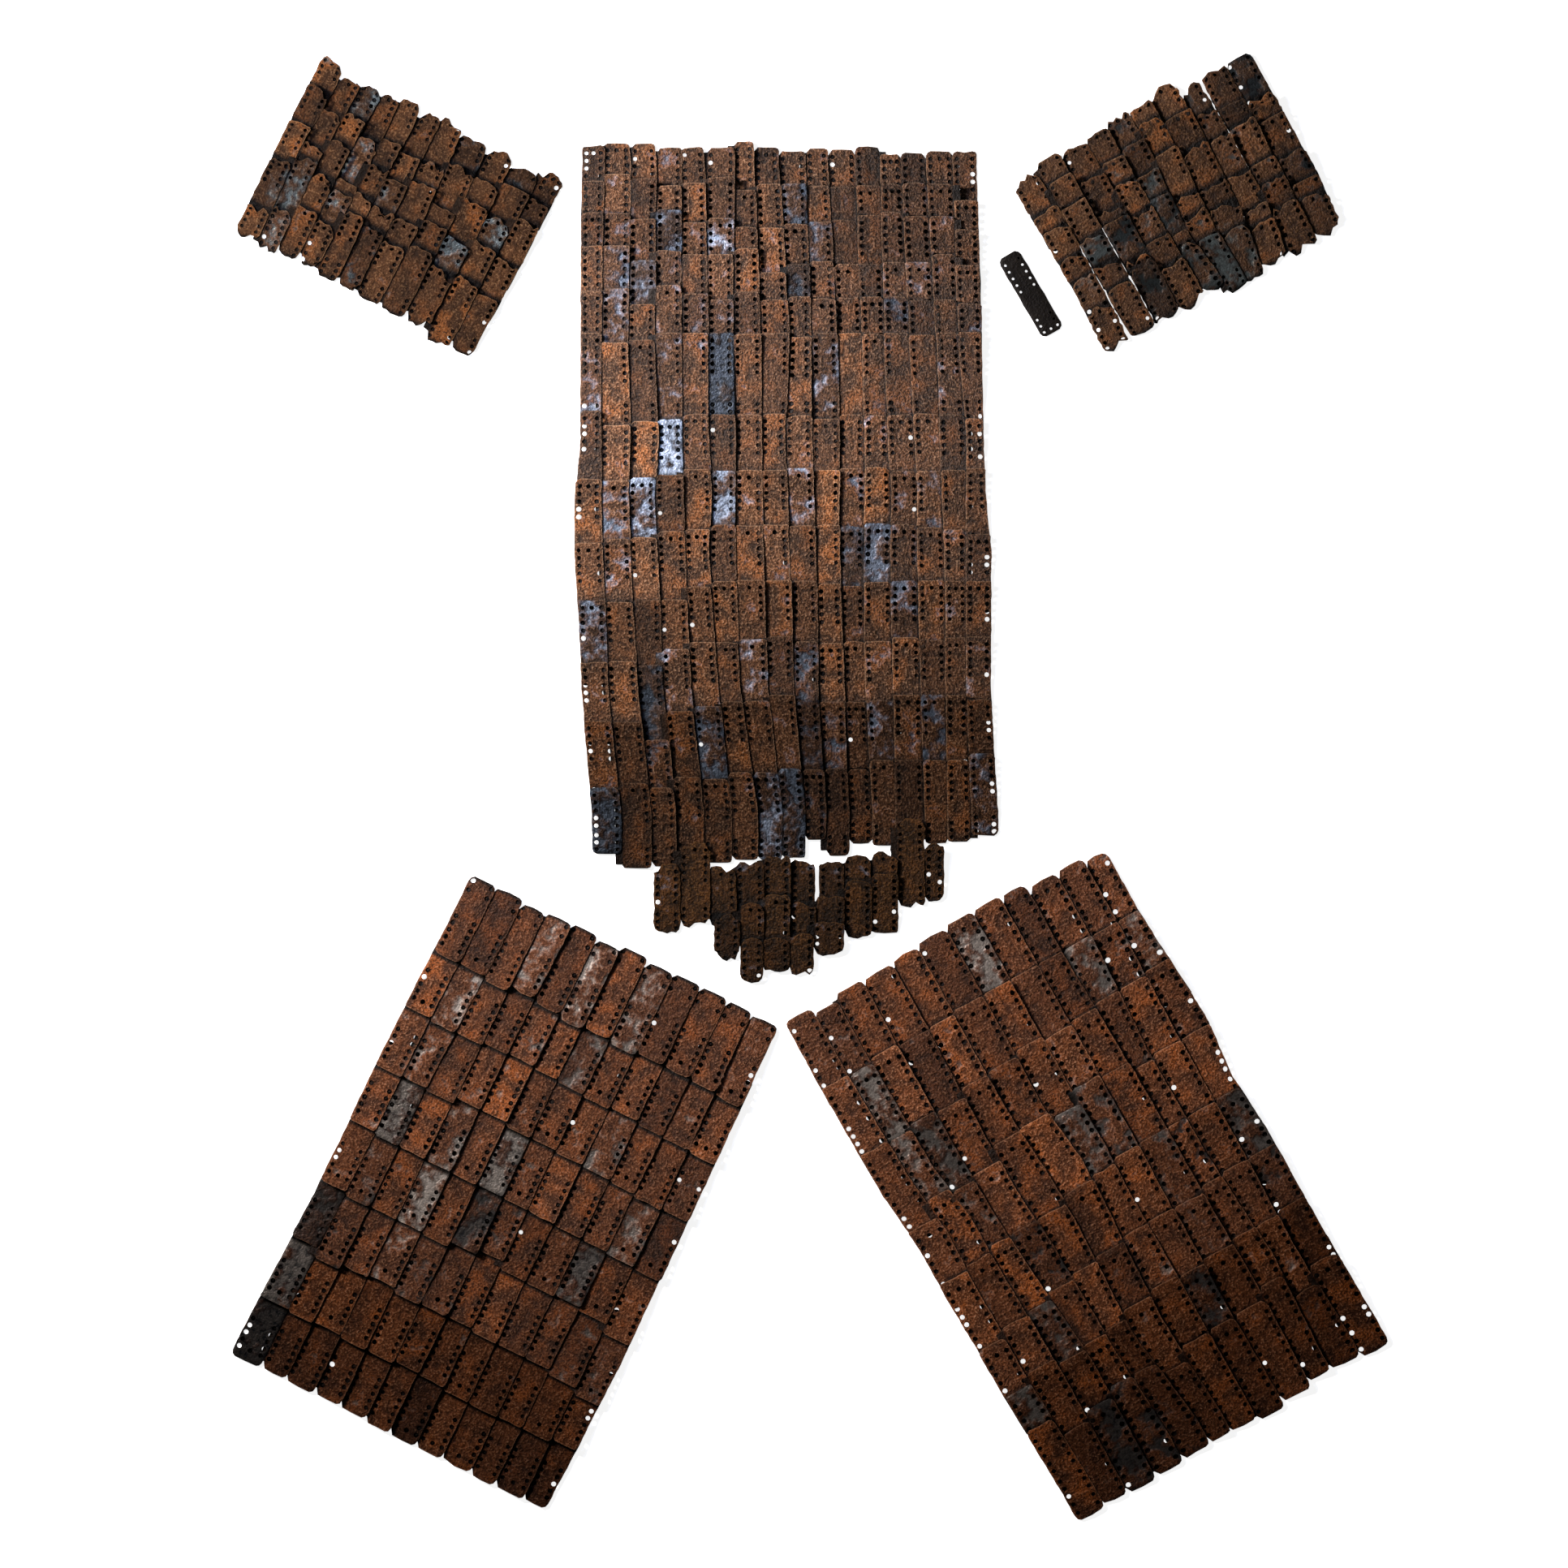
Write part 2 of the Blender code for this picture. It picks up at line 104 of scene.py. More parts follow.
BODY = Panel(
    name="body", corner=(-263, 688), turn=0, lamella=92, over=1, low_column=10,
    holes=(8, 16, 24, 32, 40), tail_holes=(5, 12.5, 20), bore=2.45, hidden=0.35, ragged=0.7,
    corners=(3.0, 6.0), clogged=(0.96, 0.35), crevice=2.5, tones=(0.83, 1.36, 0.4),
    slits=(), columns=(
        (34, (23, 47, 75, 102, 128, 153, 183, 204, 230, 258, 281, 309, 335, 357, 383, 411, 436)),
        (221, (22, 44, 72, 100, 128, 156, 182, 211, 241, 264, 291, 316, 340, 366, 394, 417, 442)),
        (323, (22, 44, 75, 104, 129, 156, 184, 212, 236, 264, 293, 319, 343, 371, 398, 426, 444)),
        (382, (16, 44, 73, 100, 130, 160, 184, 212, 239, 267, 293, 320, 347, 375, 400, 425, 446)),
        (442, (16, 46, 74, 103, 132, 156, 184, 214, 241, 269, 293, 318, 346, 374, 403, 425, 452)),
        (586, (23, 51, 82, 109, 138, 167, 189, 218, 246, 271, 298, 320, 349, 378, 404, 426, 452)),
        (714, (34, 65, 96, 122, 151, 180, 208, 233, 257, 279, 303, 327, 352, 382, 406, 431, 459)),
    ),
    rows=(
        Row("row_01", (17, 14, 15, 19, 19, 19, 13, 19, 23, 20, 21, 18, 26, 25, 23, 23),
            slits=(2, 3, 5)),
        Row("row_02", (55, 48, 53, 60, 57, 51, 64, 58, 58, 60, 61, 60, 58, 57, 58, 75),
            grey=((2, 0.3, 0.6), (6, 0.4, 0.3), (9, 0.9, 0.2), (14, 0.4, 0.4))),
        Row("row_03", (88, 89, 95, 85, 98, 94, 103, 104, 100, 98, 96, 91, 88, 92, 92, 106),
            grey=((2, 0.3, 0.6), (4, 0.9, 0.7), (6, 0.7, 0.8), (9, 0.4, 0.3), (10, 0.5, 0.2)), orange=(12,)),
        Row("row_04", (123, 123, 138, 128, 132, 132, 126, 151, 142, 139, 142, 142, 140, 140, 132, 143),
            grey=((2, 0.6, 0.3), (3, 0.9, 0.6), (9, 0.7, 0.1), (13, 0.4, 0.4), (14, 0.6, 0.2),
                  (15, 0.4, 0.1))),
        Row("row_05", (170, 167, 184, 164, 173, 179, 171, 179, 176, 178, 177, 176, 176, 180, 179, 183),
            grey=((2, 0.6, 0.8), (4, 0.3, 0.8), (5, 0.4, 0.3), (6, 0.4, 0.5), (13, 0.7, 0.1), (16, 0.5, 0.7)),
            orange=(8,)),
        Row("row_06", (214, 224, 221, 214, 214, 214, 215, 214, 218, 214, 214, 215, 214, 216, 214, 213),
            grey=((1, 0.5, 0.6), (4, 0.4, 0.5), (6, 1.4, 0.1), (10, 0.4, 0.8), (15, 0.5, 0.5))),
        Row("row_07", (295, 310, 306, 304, 298, 299, 299, 298, 300, 303, 299, 300, 299, 298, 299, 303),
            grey=((4, 1.4, 0.95), (12, 0.3, 0.8)), orange=(8,)),
        Row("row_08", (366, 368, 365, 362, 356, 358, 357, 357, 355, 357, 355, 354, 358, 358, 357, 355),
            grey=((2, 0.7, 0.1), (3, 1.0, 0.7), (6, 1.0, 0.5), (9, 0.6, 0.5), (11, 0.4, 0.3),
                  (14, 0.5, 0.2))),
        Row("row_09", (433, 429, 427, 421, 419, 414, 415, 414, 415, 414, 416, 413, 414, 417, 419, 424),
            grey=((2, 0.3, 0.7), (11, 0.7, 0.3), (12, 0.9, 0.5), (13, 0.4, 0.6)), orange=(10,)),
        Row("row_10", (493, 495, 493, 492, 479, 473, 472, 472, 473, 476, 478, 474, 473, 472, 473, 473),
            grey=((1, 0.8, 0.5), (13, 0.6, 0.7), (15, 0.3, 0.7))),
        Row("row_11", (558, 557, 561, 544, 537, 537, 534, 531, 536, 538, 536, 536, 532, 534, 532, 531),
            grey=((3, 0.9, 0.05), (4, 0.5, 0.7), (7, 0.4, 0.7), (9, 0.7, 0.2), (16, 0.4, 0.6)), orange=(9,)),
        Row("row_12", (619, 620, 639, 609, 604, 599, 598, 592, 597, 599, 599, 598, 592, 592, 592, 597),
            grey=((3, 0.5, 0.05), (5, 1.0, 0.15), (9, 0.6, 0.1), (10, 0.5, 0.1), (12, 0.6, 0.6),
                  (13, 0.4, 0.2), (14, 0.8, 0.15))),
        Row("row_13", (689, 684, 689, 678, 680, 673, 673, 669, 670, 669, 670, 660, 660, 660, 660, 653),
            ends=(759, 774, 772, 769, 768, 765, 765, 763, 744, 761, 748, 750, 749, 748, 746, 740),
            grey=((1, 1.2, 0.1), (7, 0.9, 0.8), (8, 1.1, 0.2), (9, 0.4, 0.1), (16, 0.6, 0.4))),
    ))

SKIRT = Panel(
    name="skirt", corner=BODY.corner, turn=0, lamella=92, over=1, low_column=6,
    holes=BODY.holes, tail_holes=BODY.tail_holes, bore=2.35, hidden=0.4, ragged=2.6,
    corners=(2.0, 11.0), clogged=(0.97, 0.85), crevice=3.0, tones=(0.86, 0.8, 0.66), slits=(), columns=(),
    rows=(
        Row("row_1_left", (769, 746, 772, 767, 761, 765),
            ends=(842, 836, 834, 830, 828, 828), edges=(98, 126, 157, 185, 214, 242, 267)),
        Row("row_1_right", (767, 759, 756, 722, 748),
            ends=(822, 820, 818, 814, 808), edges=(272, 298, 326, 353, 382, 402)),
        Row("row_2", (822, 809, 801, 808, 803, 786, 779),
            ends=(870, 862, 855, 850, 848, 847, 842), edges=(162, 189, 214, 241, 268, 298, 327, 355)),
        Row("row_3", (846, 846, 842, 829),
            ends=(894, 882, 886, 865), edges=(189, 213, 241, 266, 298)),
    ))

THIGH_LEFT = Panel(
    name="thigh_left", corner=(-365, -77), turn=26, lamella=92, over=-1, low_column=12,
    holes=(12, 20, 28, 36, 44), tail_holes=(5, 16), bore=2.6, hidden=0.15, ragged=0.6,
    corners=(5.0, 8.5), clogged=(0.97, 0.7), crevice=4.5, tones=(0.95, 0.75, 0.34),
    slits=(), columns=(
        (51, (15, 45, 77, 104, 133, 163, 190, 221, 252, 283, 315, 344, 375)),
        (213, (13, 43, 71, 103, 131, 162, 191, 221, 253, 286, 315, 347, 378)),
        (400, (13, 43, 73, 102, 133, 164, 195, 223, 253, 286, 316, 349, 381)),
        (544, (9, 43, 72, 105, 135, 166, 194, 225, 255, 289, 317, 350, 377)),
    ),
    rows=(
        Row("row_1", (99, 99, 103, 98, 101, 105, 102, 105, 101, 102, 103, 106),
            ends=(9, 9, 12, 10, 9, 12, 7, 10, 9, 9, 10, 12),
            grey=((4, 0.7, 0.3), (6, 0.7, 0.8), (8, 0.7, 0.6), (12, 0.4, 0.2))),
        Row("row_2", (163, 166, 165, 162, 161, 163, 165, 167, 165, 168, 169, 171),
            grey=((2, 0.6, 0.9), (5, 0.4, 0.2), (7, 0.6, 0.4), (11, 0.3, 0.4)), orange=(1,)),
        Row("row_3", (232, 231, 233, 226, 226, 230, 230, 232, 233, 235, 238, 237),
            grey=((1, 0.4, 0.2), (2, 0.4, 0.6), (9, 0.6, 0.3), (12, 0.5, 0.1)), orange=(5,)),
        Row("row_4", (295, 298, 298, 299, 299, 298, 299, 300, 301, 302, 304, 306),
            grey=((2, 1.2, 0.7), (4, 0.6, 0.5), (6, 1.2, 0.6), (11, 0.6, 0.4))),
        Row("row_5", (365, 369, 368, 368, 370, 364, 359, 367, 368, 366, 370, 380),
            grey=((2, 0.5, 0.2), (4, 0.9, 0.8), (6, 1.0, 0.05), (7, 0.4, 0.1), (10, 1.1, 0.2))),
        Row("row_6", (431, 441, 436, 433, 438, 436, 436, 439, 439, 439, 444, 451),
            grey=((1, 1.1, 0.1), (2, 0.4, 0.1), (4, 0.6, 0.6), (5, 0.5, 0.1), (12, 0.4, 0.1)), orange=(7,)),
        Row("row_7", (502, 504, 502, 505, 505, 502, 504, 507, 508, 507, 507, 503),
            grey=((1, 1.3, 0.25),)),
        Row("row_8", (571, 570, 571, 570, 571, 573, 574, 574, 574, 575, 574, 573),
            grey=((1, 1.4, 0.0),)),
    ))

THIGH_RIGHT = Panel(
    name="thigh_right", corner=(-42, -247), turn=-29, lamella=107, over=1, low_column=12,
    holes=(13, 22, 31, 41, 50), tail_holes=(9, 19, 29, 38, 47), bore=2.7, hidden=0.15, ragged=0.8,
    corners=(5.0, 8.5), clogged=(0.94, 0.65), crevice=2.5, tones=(1.05, 1.15, 0.5),
    slits=(), columns=(
        (85, (12, 44, 72, 105, 141, 172, 208, 241, 274, 303, 337, 368, 394)),
        (213, (14, 48, 75, 105, 139, 172, 207, 241, 274, 307, 331, 366, 402)),
        (281, (21, 56, 85, 108, 140, 177, 216, 244, 275, 309, 332, 366, 395)),
        (340, (21, 54, 85, 111, 145, 179, 214, 242, 274, 309, 333, 367, 400)),
        (468, (24, 55, 89, 123, 149, 174, 208, 244, 274, 312, 342, 366, 401)),
        (578, (28, 61, 89, 122, 155, 189, 214, 245, 276, 310, 336, 371, 404)),
    ),
    rows=(
        Row("row_1", (7, 14, 7, 7, 4, 2, 0, 0, 1, 7, 7, 12), slits=(9,),
            grey=((2, 0.4, 0.2), (7, 0.9, 0.7), (12, 0.3, 0.2))),
        Row("row_2", (87, 88, 83, 86, 85, 82, 82, 82, 82, 82, 83, 83),
            grey=((2, 0.9, 0.8), (4, 0.3, 0.1), (10, 0.8, 0.4), (12, 0.6, 0.6))),
        Row("row_3", (167, 169, 164, 166, 157, 155, 150, 154, 151, 147, 146, 143),
            grey=((2, 0.6, 0.6), (3, 0.9, 0.4), (8, 0.4, 0.3), (10, 0.4, 0.3))),
        Row("row_4", (262, 242, 247, 242, 225, 223, 230, 214, 217, 227, 223, 223),
            grey=((3, 0.4, 0.4), (7, 0.9, 0.3), (8, 0.8, 0.1)), orange=(2, 9)),
        Row("row_5", (326, 321, 316, 315, 315, 306, 303, 298, 297, 297, 297, 296),
            grey=((4, 0.6, 0.1), (9, 0.5, 0.2), (10, 0.5, 0.0), (12, 1.0, 0.3)), orange=(3,)),
        Row("row_6", (406, 397, 395, 388, 383, 379, 374, 373, 374, 368, 366, 366),
            grey=((3, 0.7, 0.4), (9, 0.5, 0.1), (12, 0.6, 0.05))),
        Row("row_7", (462, 451, 458, 454, 451, 442, 437, 439, 436, 432, 432, 429),
            grey=((1, 0.9, 0.4), (8, 0.9, 0.1))),
        Row("row_8", (504, 524, 514, 505, 505, 519, 504, 503, 502, 489, 514, 495),
            ends=(614, 612, 614, 612, 610, 609, 609, 613, 609, 602, 604, 608),
            grey=((3, 1.0, 0.05), (4, 0.7, 0.05), (5, 0.4, 0.05))),
    ))

SHOULDER_LEFT = Panel(
    name="shoulder_left", corner=(-518, 781), turn=26.5, lamella=66, over=1, low_column=11,
    holes=(5, 12, 19, 26), tail_holes=(5, 12, 19), bore=2.3, hidden=0.4, ragged=3.8,
    corners=(4.0, 8.5), clogged=(0.95, 0.8), crevice=6.5, tones=(0.45, 0.48, 0.5),
    slits=(), columns=(
        (26, (14, 41, 64, 88, 108, 132, 155, 180, 213, 241, 275, 298)),
        (115, (13, 36, 60, 84, 109, 130, 156, 185, 213, 243, 270, 298)),
        (204, (13, 39, 62, 86, 109, 133, 156, 183, 212, 240, 269, 294)),
    ),
    rows=(
        Row("row_1", (9, 21, 17, 17, 12, 15, 10, 19, 17, 23, 14), slits=(1, 5, 8, 10),
            grey=((3, 0.8, 0.6), (8, 0.6, 0.2), (10, 0.6, 0.1))),
        Row("row_2", (43, 60, 53, 66, 60, 64, 61, 51, 53, 45, 47),
            grey=((4, 0.7, 0.3), (11, 0.4, 0.2))),
        Row("row_3", (85, 99, 85, 118, 89, 95, 85, 98, 78, 82, 72),
            grey=((6, 0.5, 0.4), (10, 0.9, 0.6)), orange=(9,)),
        Row("row_4", (128, 115, 123, 132, 123, 128, 128, 117, 122, 113, 119),
            grey=((1, 0.5, 0.6), (2, 0.9, 0.4), (4, 0.6, 0.5), (9, 1.0, 0.2))),
        Row("row_5", (182, 173, 162, 167, 145, 149, 155, 146, 156, 153, 160),
            ends=(218, 220, 217, 216, 219, 221, 221, 221, 221, 228, 226), slits=(1, 3, 5, 7, 8, 10),
            grey=((2, 0.7, 0.4), (6, 0.4, 0.2)), orange=(10,)),
    ))

SHOULDER_RIGHT = Panel(
    name="shoulder_right", corner=(184, 654), turn=-29, lamella=66, over=1, low_column=10,
    holes=(5, 13, 21, 29), tail_holes=(5, 12, 19), bore=2.3, hidden=0.4, ragged=3.6,
    corners=(4.0, 8.5), clogged=(0.95, 0.8), crevice=6.5, tones=(0.82, 0.84, 0.88),
    slits=(1, 2, 8), columns=(
        (85, (12, 42, 71, 101, 127, 154, 181, 212, 236, 267, 297)),
        (170, (14, 42, 72, 102, 130, 148, 175, 209, 237, 265, 297)),
        (230, (12, 42, 72, 102, 132, 156, 178, 200, 230, 264, 294)),
    ),
    rows=(
        Row("row_1", (33, 27, 30, 28, 24, 25, 20, 33, 31, 32), slits=(1, 8),
            grey=((5, 0.6, 0.1), (8, 0.6, 0.2), (10, 1.1, 0.0))),
        Row("row_2", (75, 53, 68, 62, 58, 45, 54, 66, 71, 79),
            grey=((5, 0.5, 0.2), (8, 0.4, 0.1)), orange=(6, 10)),
        Row("row_3", (96, 83, 106, 89, 92, 81, 92, 96, 94, 104),
            grey=((5, 0.9, 0.5), (9, 0.4, 0.1))),
        Row("row_4", (130, 122, 119, 125, 119, 132, 136, 139, 139, 147),
            grey=((2, 0.9, 0.5), (3, 0.8, 0.1), (5, 1.0, 0.2), (10, 0.7, 0.0))),
        Row("row_5", (155, 153, 164, 157, 163, 153, 160, 178, 162, 178),
            grey=((1, 0.4, 0.6), (7, 0.5, 0.7)), orange=(3,)),
        Row("row_6", (190, 180, 172, 187, 176, 181, 187, 195, 190, 195),
            ends=(238, 237, 236, 238, 235, 245, 244, 240, 243, 242), slits=(1, 8),
            grey=((3, 0.7, 0.3), (5, 0.7, 0.4), (6, 1.1, 0.6), (7, 0.6, 0.8), (10, 0.4, 0.2))),
    ))

LOOSE_PLACE = (230, 516)
LOOSE_TURN = 59.7
LOOSE_LENGTH = 95
LOOSE_WIDTH = 25


class Strip:
    """Where one laced row lies: the same rules as the construction's strips follow."""

    def __init__(self, panel, row):
        self.name = f"{panel.name}_{row.name}"
        self.panel = panel
        self.row = row
        self.columns = panel.columns if row.edges is None else ((0, row.edges),)
        self.count = len(row.heads)
        self.heads = [panel.over * head for head in row.heads]
        self.shown_ends = [panel.over * end for end in row.ends] if row.ends else None
        self.lean = 0.0
        sides = [[self.edge(number + k, head) for k in (0, 1)] for number, head in enumerate(self.heads)]
        feet = self.shown_ends or [head + panel.lamella for head in self.heads]
        slope, base = numpy.polyfit([sum(pair) / 2 for pair in sides], feet, 1)
        if self.shown_ends:
            base += max(foot - base - slope * place for foot, pair in zip(feet, sides) for place in pair)
        self.foot_slope = float(slope)
        self.foot_base = float(base)

    def edge(self, number, along):
        """Where a column's long edge lies across the panel, for one place or an array of them."""
        stations = [station for station, _ in self.columns]
        places = [edges[number] for _, edges in self.columns]
        return numpy.interp(along * self.panel.over, stations, places)

    def foot(self, across):
        return self.foot_base + self.foot_slope * across

    def shorten_for(self, upper):
        width = self.edge(self.count, self.heads[-1])
        tread = min(upper.foot(across) - self.foot(across) for across in (0, width))
        self.foot_base -= max(LEAST_TREAD - tread, 0)

    def lean_on(self, below):
        """Leans this row just so far that it lies clear over the row below it."""
        for number in range(self.count):
            for across in (self.edge(number, self.heads[number]), self.edge(number + 1, self.heads[number])):
                if not below.edge(0, below.heads[0]) <= across <= below.edge(below.count, below.heads[-1]):
                    continue
                touch = below.foot(across)
                neighbours = self.heads[max(number - 1, 0):number + 2]
                if min(neighbours) >= touch:
                    continue
                for along in (touch, min(neighbours)):
                    lift = below.lean * (touch - along) + ROW_HEIGHT + AIR
                    self.lean = max(self.lean, lift / (self.foot(across) - along))

    def end(self, number):
        """How far along the row a plate's foot lies."""
        if self.shown_ends:
            return self.shown_ends[number]
        return self.foot(self.edge(number, self.foot_base))

    def head_over(self, across):
        """The head of this row's plate over a place across the panel, or None beside the row."""
        for number, head in enumerate(self.heads):
            if self.edge(number, head) <= across <= self.edge(number + 1, head):
                return head
        return None

    def places(self, across, along, level):
        """Turns arrays of millimetres across, along and above the strip into places in metres."""
        down = along * self.panel.over
        turn = math.radians(self.panel.turn)
        x = self.panel.corner[0] - MIDDLE[0] + across * math.cos(turn) - down * math.sin(turn)
        y = self.panel.corner[1] - MIDDLE[1] - across * math.sin(turn) - down * math.cos(turn)
        z = level + self.lean * (self.foot(across) - along)
        return numpy.column_stack((x, y, numpy.maximum(z, 0.0))) * MM


def lines_between(stops, spacing):
    """Grid lines at the stops, and evenly between them so that none are further apart than spacing."""
    lines = [stops[0]]
    for stop in stops[1:]:
        count = max(1, math.ceil((stop - lines[-1]) / spacing))
        start = lines[-1]
        lines += [start + (stop - start) * (k + 1) / count for k in range(count)]
    return lines


def apart(stops, least):
    """The stops in order, without those that would crowd the one before."""
    kept = []
    for stop in sorted(stops):
        if not kept or stop - kept[-1] >= least:
            kept.append(stop)
    return kept


def new_vertices(piece, layers):
    """The vertices of the lamella in hand: those that have no tone yet."""
    return [vertex for vertex in piece.verts if vertex[layers["tone"]] == 0]


def pierced_sheet(piece, layers, across_lines, along_lines, holes, radius):
    """A flat plate on those grid lines, with round holes at the crossings given: True for a clogged one."""
    columns, rows = len(across_lines) - 1, len(along_lines) - 1
    grid = bmesh.ops.create_grid(piece, x_segments=columns, y_segments=rows, size=0.5)["verts"]
    pierced, clogs, opened = [], [], []
    for vertex in grid:
        column = round((vertex.co.x + 0.5) * columns)
        row = round((vertex.co.y + 0.5) * rows)
        vertex.co = (across_lines[column], along_lines[row], 0.0)
        if (column, row) in holes:
            pierced.append((vertex, holes[column, row]))
    if pierced:
        centres = {vertex.co.copy().freeze(): clogged for vertex, clogged in pierced}
        rims = bmesh.ops.bevel(
            piece, geom=[vertex for vertex, _ in pierced], offset=radius, offset_type="OFFSET", segments=2,
            profile=0.5, affect="VERTICES", clamp_overlap=False, material=-1)["faces"]
        for rim in rims:
            middle = rim.calc_center_median()
            centre = min(centres, key=lambda place: (place - middle).length_squared)
            for vertex in rim.verts:
                vertex.co = centre + (vertex.co - centre).normalized() * radius
            if centres[centre]:
                clogs.append(rim)
            else:
                opened.append(rim)
        bmesh.ops.delete(piece, geom=opened, context="FACES_ONLY")
    sheet = {face for vertex in new_vertices(piece, layers) for face in vertex.link_faces} - set(clogs)
    sheet = sorted(sheet, key=lambda face: tuple(face.calc_center_median()))
    raised = bmesh.ops.extrude_face_region(piece, geom=sheet)["geom"]
    bmesh.ops.translate(
        piece, vec=(0.0, 0.0, IRON), verts=[item for item in raised if isinstance(item, bmesh.types.BMVert)])
    return new_vertices(piece, layers)


def smooth_step(low, high, value):
    """Rises softly from 0 at low to 1 at high."""
    share = numpy.clip((value - low) / (high - low), 0.0, 1.0)
    return share * share * (3 - 2 * share)


def waves(dice, place, longest, count=4):
    """A wandering line of that many waves, from about -1 to 1."""
    total = numpy.zeros_like(place)
    for k in range(count):
        length = longest / (1 + k * 0.9)
        total += math.pow(0.75, k) * numpy.sin(2 * math.pi * (place / length + dice.random()))
    return total / 2


def corner_profile(across, width, radius):
    """How far a rounded corner takes an end back."""
    reach = numpy.minimum(across, width - across)
    inside = numpy.clip(radius - reach, 0.0, radius)
    return radius - numpy.sqrt(radius * radius - inside * inside)


# A lamella's tone, which is its random tone times its panel's painted light, how much bare metal it shows,
# how silvery that is, and how orange its rust is
Looks = namedtuple("Looks", "tone bare sheen orange")

# One side of a lamella: how wide its lap under the neighbour is, and whether its holes show
Side = namedtuple("Side", "lap pierced")


def side_lines(side):
    """The grid lines from one long edge inwards, and which of them the holes lie on."""
    if not side.pierced:
        return [0.0, side.lap, side.lap + 2.0], None
    if side.lap > 0:
        return [0.0, side.lap, side.lap + SEAM_INSET], 2
    return [0.0, CHAMFER_WIDTH, HOLE_INSET], 2


def forge(piece, layers, dice, width, length, sides, pairs, bore, end_holes, shown, crevice, ragged, corners):
    """One lamella with its eaten ends and its bends: its new vertices and their places in millimetres.

    Pairs gives each pair of holes as its place and how likely its holes are clogged.
    """
    (left_lines, left), (right_lines, right) = [side_lines(side) for side in sides]
    inner = width - left_lines[-1] - right_lines[-1]
    middle_lines = 1 if ragged < 1.5 else 3
    across_lines = list(left_lines)
    across_lines += [left_lines[-1] + inner * (k + 1) / (middle_lines + 1) for k in range(middle_lines)]
    across_lines += [width - line for line in reversed(right_lines)]
    if right is not None:
        right = len(across_lines) - 1 - right
    clogs = dict(pairs)
    # Grid lines on which the painted shade before the row above rises
    painted_darkening = (shown - crevice - 0.4, shown - crevice + 2.0) if crevice > 4 and 12 < shown < length - 6 else ()
    inside = [place for place in clogs if LEAST_END_SPACING < place < length - LEAST_END_SPACING]
    hole_lines = apart(inside, LEAST_HOLE_SPACING)
    hole_lines = [line for line in hole_lines if all(abs(line - mark) > HOLE_CLEARANCE for mark in painted_darkening)]
    stops = [0.0, CHAMFER_WIDTH, length - CHAMFER_WIDTH, length, *painted_darkening]
    stops += [stop for stop in (shown - 1.5, shown + 2.5) if 6 < stop < length - 6]
    stops = [stop for stop in stops if all(abs(stop - line) > HOLE_CLEARANCE for line in hole_lines)]
    stops = apart(stops + hole_lines, 1.0)
    seen = [stop for stop in stops if stop <= shown + 3]
    along_lines = lines_between(seen, LINE_SPACING)
    hidden = [stop for stop in stops if stop > shown + 3]
    if hidden:
        along_lines += lines_between([along_lines[-1], *hidden], HIDDEN_SPACING)[1:]
    holes = {}
    for line in hole_lines:
        for column in (left, right):
            if column is not None:
                holes[column, along_lines.index(line)] = dice.random() < clogs[line]
    for line in end_holes:
        if line in along_lines:
            holes[len(across_lines) // 2, along_lines.index(line)] = dice.random() < clogs[line]
    made = pierced_sheet(
        piece, layers, across_lines, along_lines, holes, min(bore * dice.uniform(0.88, 1.08), LARGEST_BORE))
    across, along, level = numpy.array([vertex.co for vertex in made]).T
    rim = (across < 0.01) | (across > width - 0.01) | (along < 0.01) | (along > length - 0.01)
    beneath = (level < 0.5) & ~rim
    level[rim & (level > 0.5)] -= CHAMFER_DROP
    for sign, start in ((1, 0.0), (-1, length)):
        reach = numpy.abs(along - start)
        seen_width = width - sides[0].lap - sides[1].lap
        seen_across = numpy.clip(across - sides[0].lap, 0.0, seen_width)
        bite = corner_profile(seen_across, seen_width, dice.uniform(*corners))
        bite += ragged * numpy.clip(waves(dice, across, dice.uniform(18, 40)) + 0.2, -0.2, 1.2)
        if ragged > 2:
            slant = dice.uniform(-1.2, 1.2) * ragged
            bite += numpy.maximum(slant * (across / width - 0.5), 0.0) * 2
        share = numpy.clip(1 - reach / END_ZONE, 0.0, 1.0)
        along = along + sign * bite * share
    nibble = 0.35 * waves(dice, along, 34) + 0.15 * ragged * waves(dice, along, 11)
    across = across + nibble * smooth_step(HOLE_INSET, 0.0, across)
    across = across - nibble * smooth_step(HOLE_INSET, 0.0, width - across)
    bow = dice.uniform(-0.25, 0.55)
    twist = dice.uniform(-0.45, 0.45)
    sway = across / width - 0.5
    level = level + bow * (0.25 - sway * sway) * 4
    level = level + twist * sway * (along / length - 0.5) * 2
    level = level + 0.16 * waves(dice, along, 27) + 0.12 * waves(dice, across + along * 0.4, 13)
    head_lift = min(max(dice.gauss(0.6, 0.8), 0.0), 2.4)
    level = level + head_lift * numpy.clip(1 - along / 34, 0.0, 1.0) ** 2
    return made, across, along, level, rim, beneath


def choose_side(dice, on_top, outermost, slit, hidden):
    """How a lamella's long edge meets its neighbour: over it, apart from it, or under it."""
    if slit and dice.random() < 0.6:
        return Side(-SLIT * dice.uniform(0.2, 0.6), True)
    if on_top or outermost:
        return Side(0.0, True)
    return Side(dice.uniform(*LAP), dice.random() >= hidden)


def chance_of_clog(strip, under_it, across, along, outermost):
    """Holes over another row are open. Most others are clogged, fewer at the panel's own long edges."""
    for lower in under_it:
        if lower.head_over(across) is not None and lower.foot(across) > along + 3 + 2 * strip.panel.ragged:
            return 0.0
    return strip.panel.clogged[1] if outermost else strip.panel.clogged[0]


